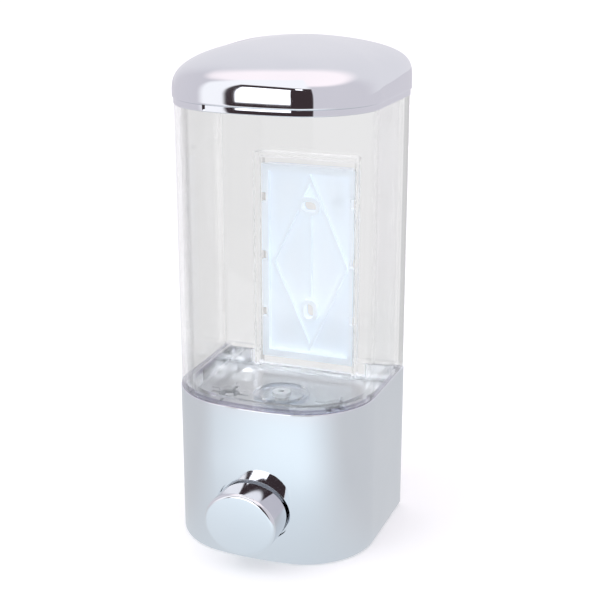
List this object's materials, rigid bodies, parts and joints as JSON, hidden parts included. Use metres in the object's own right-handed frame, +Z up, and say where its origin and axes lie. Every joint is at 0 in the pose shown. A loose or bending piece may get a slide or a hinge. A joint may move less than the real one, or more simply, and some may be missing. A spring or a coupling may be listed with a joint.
{
  "type": "wall mounted soap dispenser",
  "caption": "Wall mounted push button soap dispenser: clear D-shaped tank on a chrome pump housing, domed chrome lid, pale wall bracket hooked in a pocket in the tank's back.",
  "frame": {"origin": "middle of the wall bracket's flat back, on the wall plane between the two screw slots", "axes": "+Z up, +Y into the wall, -Y out towards the user (the button's side), +X to the right seen from the front"},
  "size_m": [0.0858, 0.0853, 0.2074],
  "materials": {
    "chrome_shell": "polished chrome plate on moulded plastic",
    "clear_plastic": "clear, colourless, glossy",
    "bracket_plastic": "pale blue-white moulded plastic, satin",
    "pump_plastic": "natural white moulded plastic",
    "seal_rubber": "dark grey rubber",
    "spring_steel": "bright stainless steel"
  },
  "bodies": {
    "wall_mount": {"wall_bracket": "bracket_plastic"},
    "dispenser": {"tank": "clear_plastic", "top_band": "chrome_shell", "housing": "chrome_shell", "base_cover": "pump_plastic", "pump_body": "pump_plastic", "pump_front_cap": "pump_plastic", "pump_strap": "pump_plastic", "inlet_nut": "pump_plastic", "nozzle": "pump_plastic", "inlet_fitting": "bracket_plastic", "inlet_gasket": "seal_rubber", "outlet_valve": "seal_rubber", "return_spring": "spring_steel", "inlet_spring": "spring_steel", "base_screw_rear_left": "spring_steel", "base_screw_rear_right": "spring_steel", "base_screw_front_left": "spring_steel", "base_screw_front_right": "spring_steel", "tank_screw_left": "spring_steel", "tank_screw_right": "spring_steel", "strap_screw_left": "spring_steel", "strap_screw_right": "spring_steel"},
    "lid": {"lid_cover": "chrome_shell", "lid_plug": "pump_plastic"},
    "button": {"button_cap": "chrome_shell", "piston_rod": "pump_plastic", "piston_seal": "seal_rubber"},
    "valve_ball": {"inlet_ball": "spring_steel"}
  },
  "joints": [
    {"name": "unit_lift", "type": "slide", "parent": "wall_mount", "child": "dispenser", "axis": [0, 0, 1], "range_m": [0, 0.0042]},
    {"name": "lid_lift", "type": "slide", "parent": "dispenser", "child": "lid", "axis": [0, 0, 1], "range_m": [0, 0.05]},
    {"name": "button_press", "type": "slide", "parent": "dispenser", "child": "button", "axis": [0, 1, 0], "range_m": [0, 0.01], "stiffness_N_per_m": 500, "springref_m": -0.01, "deforming": ["return_spring"]},
    {"name": "inlet_ball_drop", "type": "slide", "parent": "dispenser", "child": "valve_ball", "axis": [0, 0, -1], "range_m": [0, 0.0015], "stiffness_N_per_m": 30, "springref_m": -0.001, "deforming": ["inlet_spring"]}
  ]
}
